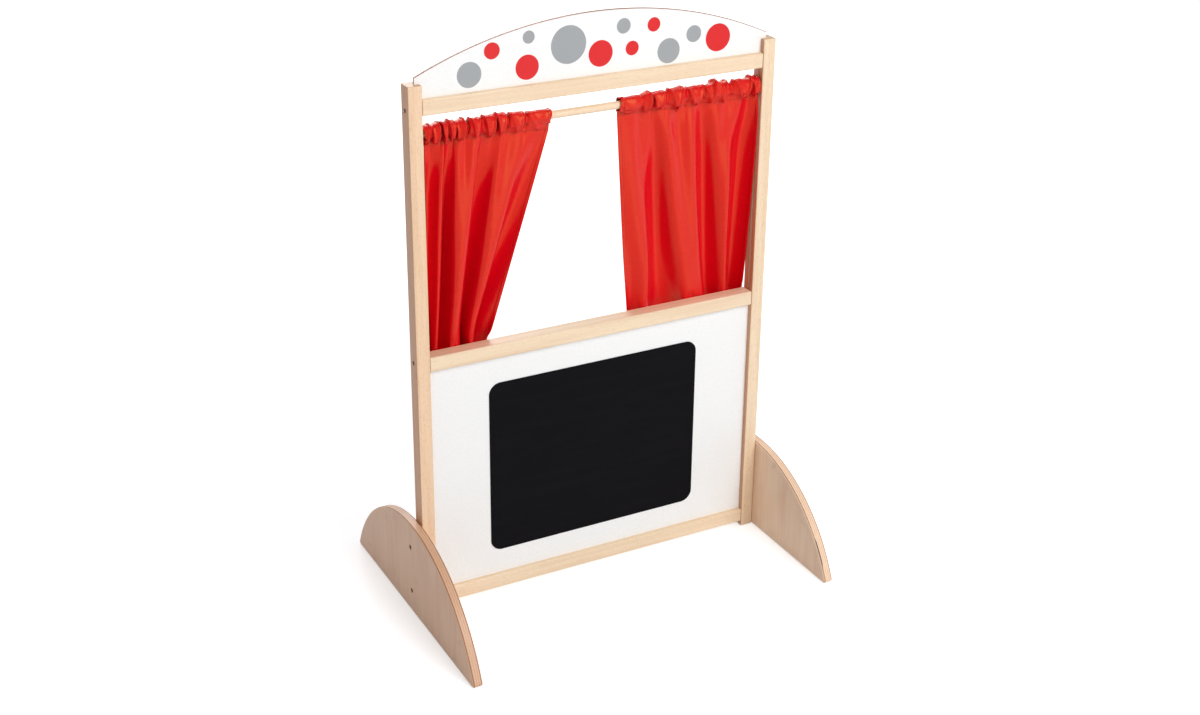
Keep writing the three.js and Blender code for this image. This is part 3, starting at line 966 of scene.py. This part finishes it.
def calmed(places):
    """The cloth with its narrow folds smoothed away, up to its two edges."""
    calm_shares = hump(np.linspace(-2, 2, 2 * calm_reach + 1), 1)
    calm_shares /= calm_shares.sum()
    columns = places.swapaxes(0, 1)
    before = 2 * columns[:1] - columns[calm_reach:0:-1]
    after = 2 * columns[-1:] - columns[-2:-calm_reach - 2:-1]
    padded = np.concatenate([before, columns, after])
    calm = sum(share * padded[i:i + len(columns)] for i, share in enumerate(calm_shares))
    return calm.swapaxes(0, 1)


def broad_folds(curtain):
    """How far the cloth comes forward at each fine point in the few folds that run its whole length."""
    down = np.clip((fine_lengths - pocket_height) / free_drop, 0, 1)[:, None]
    onset = np.clip(down / fold_onset_share, 0, 1)
    onset = onset * onset * (3 - 2 * onset)
    share = fine_across / cloth_width
    out = 0
    for top_share, hem_share, width_share, depth_share in curtain["broad_fold_shares"]:
        middle = top_share + (hem_share - top_share) * down
        out += depth_share * broad_fold_depth * hump(share - middle, width_share)
    return out * onset


def straighten_edge(places):
    """Draws the free edge into a line from the seam to the hem, and the cloth beside it less and less."""
    seam = 2 * fine_pocket_rows
    below = places[seam:]
    down = np.linspace(0, 1, len(below))
    line = below[0, -1, 0] + (below[-1, -1, 0] - below[0, -1, 0]) * down
    below[..., 0] += np.outer(line - below[:, -1, 0], np.linspace(0, 1, places.shape[1]) ** 2)


def small_forms(curtain):
    """How far the cloth's face comes out at each fine point, by its place on the cut cloth."""
    chance = np.random.default_rng(curtain["seed"])
    height = np.clip(1 - np.abs(fine_lengths) / pocket_height, 0, 1)[:, None]
    below = np.clip(np.abs(fine_lengths) - pocket_height, 0, None)[:, None]
    in_pocket = np.clip(height / puff_rise_share, puff_least_share, 1) * np.exp(-below / puff_fade_length)
    near_seam = np.clip(height / crease_rise_share, 0, 1)
    out = np.zeros((len(fine_lengths), len(fine_across)))
    pinches = cloth_width * np.array(curtain["pinch_shares"])
    for start, end in zip(pinches[:-1], pinches[1:]):
        share = np.clip((fine_across - start) / (end - start), 0, 1)
        size = chance.uniform(*puff_size_shares)
        if end == cloth_width:
            size = flat_end_share
        out += size * puff_height * in_pocket * np.sin(np.pi * share) ** 2
        crease_count = max(1, round((end - start) / crease_pitch))
        for number in range(crease_count):
            middle_share = (number + 0.5 + chance.uniform(*crease_shift_shares)) / crease_count
            middle = start + (end - start) * middle_share
            spread = (end - start) / crease_count * chance.uniform(*crease_spread_shares)
            apex = chance.uniform(*crease_apex_shares)
            rise = np.clip((height - apex) / (1 - apex), 0, 1)
            for way in (-1, 1):
                line = middle + way * spread * rise
                strength = size * crease_height * chance.uniform(*crease_strength_shares) * near_seam
                out += strength * crest(fine_across - line, crease_width)
        if start > 0:
            depth = pinch_depth * chance.uniform(*pinch_strength_shares)
            out -= depth * in_pocket * hump(fine_across - start, pinch_width)
    from_seam = np.abs(fine_lengths)[:, None] - pocket_height
    stray = chance.uniform(0, np.pi, fine_across.shape) * pucker_stray_share
    puckers = np.sin(2 * np.pi * fine_across / pucker_pitch + stray)
    return out + pucker_height * (puckers - 1) * hump(from_seam, pucker_reach)


def facing(places):
    """The direction that the cloth faces at each point of its grid."""
    down = np.gradient(places, axis=0)
    along = np.gradient(places, axis=1)
    across = np.cross(along, down)
    return across / np.linalg.norm(across, axis=-1, keepdims=True)


def keep_off_frame(places, skin):
    """Moves points that came too near the rod, the rail or a post out to the cloth's skin on it."""
    from_rod = places[..., 1:] - (0, rod_height)
    reach = np.linalg.norm(from_rod, axis=-1)
    near = reach < rod_radius + skin
    places[near, 1:] = (0, rod_height) + from_rod[near] / reach[near, None] * (rod_radius + skin)
    behind_rail = places[..., 2] < rail_box[1].z + fine_row_height
    places[behind_rail, 1] = np.maximum(places[behind_rail, 1], rail_box[1].y + skin)
    reach_x = post_inner_x - skin
    places[..., 0] = np.clip(places[..., 0], -reach_x, reach_x)


for (curtain, falling), places in zip(hung, settled):
    seam_line = (places[0] + places[stitch_row]) / 2
    places[0] = seam_line + (0, seam_allowance, 0)
    places[stitch_row] = seam_line - (0, seam_allowance, 0)
    places = calmed(places)
    places = drawn_finer(places, row_lengths, fine_lengths)
    places = drawn_finer(places.swapaxes(0, 1), coarse_across, fine_across).swapaxes(0, 1)
    straighten_edge(places)
    places[..., 1] -= broad_folds(curtain)
    outward = facing(places) * curtain["side"]
    places += outward * small_forms(curtain)[..., None]
    keep_off_frame(places, cloth_thickness / 2 + solid_clearance)

    faces = cloth_faces(len(fine_lengths), len(fine_across), curtain["side"])
    mesh = bpy.data.meshes.new(curtain["name"] + "_cloth")
    mesh.from_pydata(places.reshape(-1, 3).tolist(), [], faces)
    mesh.shade_smooth()
    cut = np.stack(np.meshgrid(fine_across, fine_lengths), axis=-1).reshape(-1, 2)
    corner_points = np.empty(len(mesh.loops), dtype=int)
    mesh.loops.foreach_get("vertex_index", corner_points)
    mesh.uv_layers.new(name="cut").data.foreach_set("uv", cut[corner_points].ravel())
    piece = bpy.data.objects.new(curtain["name"] + "_cloth", mesh)
    scene.collection.objects.link(piece)
    across, along = cut.T
    hems = (across < side_hem) | (across > cloth_width - side_hem) | (along > drop - foot_hem)
    hem_group = piece.vertex_groups.new(name="hems")
    hem_group.add(np.flatnonzero(hems).tolist(), 1, "REPLACE")
    shell = piece.modifiers.new("thickness", "SOLIDIFY")
    shell.thickness = hem_thickness
    shell.offset = 0
    shell.vertex_group = "hems"
    shell.thickness_vertex_group = cloth_thickness / hem_thickness
    mesh.materials.append(sateen)
    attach(piece, curtain["name"])
    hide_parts(curtain["name"])
